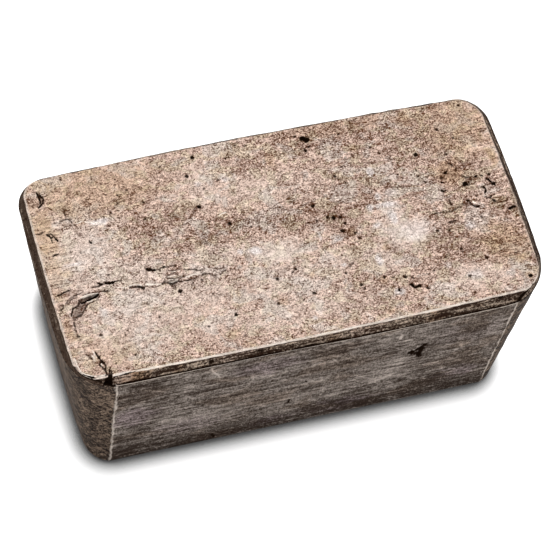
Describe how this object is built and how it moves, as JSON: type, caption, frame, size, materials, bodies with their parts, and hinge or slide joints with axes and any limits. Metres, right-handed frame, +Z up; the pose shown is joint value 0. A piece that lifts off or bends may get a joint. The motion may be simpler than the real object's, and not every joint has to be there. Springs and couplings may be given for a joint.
{
  "type": "cast silver bar",
  "caption": "Poured metal ingot: a block with tapered walls, round corners, a narrow bevelled lip round its flat top and one wall dressed flat.",
  "frame": {"origin": "middle of the bar's box, on the surface it rests on, which is its bottom face", "axes": "+X along the bar's length, +Y across it from the dressed wall to the far wall, +Z up to the poured top face"},
  "size_m": [0.12, 0.0596, 0.047],
  "materials": {
    "cast_silver": "cast silver under a brown tarnish: granular and pitted pinkish top face, dark grey-brown walls with fine lengthwise scratches, bright worn rim and arrises, dark folds and pits"
  },
  "bodies": {
    "root": {"silver_bar": "cast_silver"}
  },
  "joints": []
}
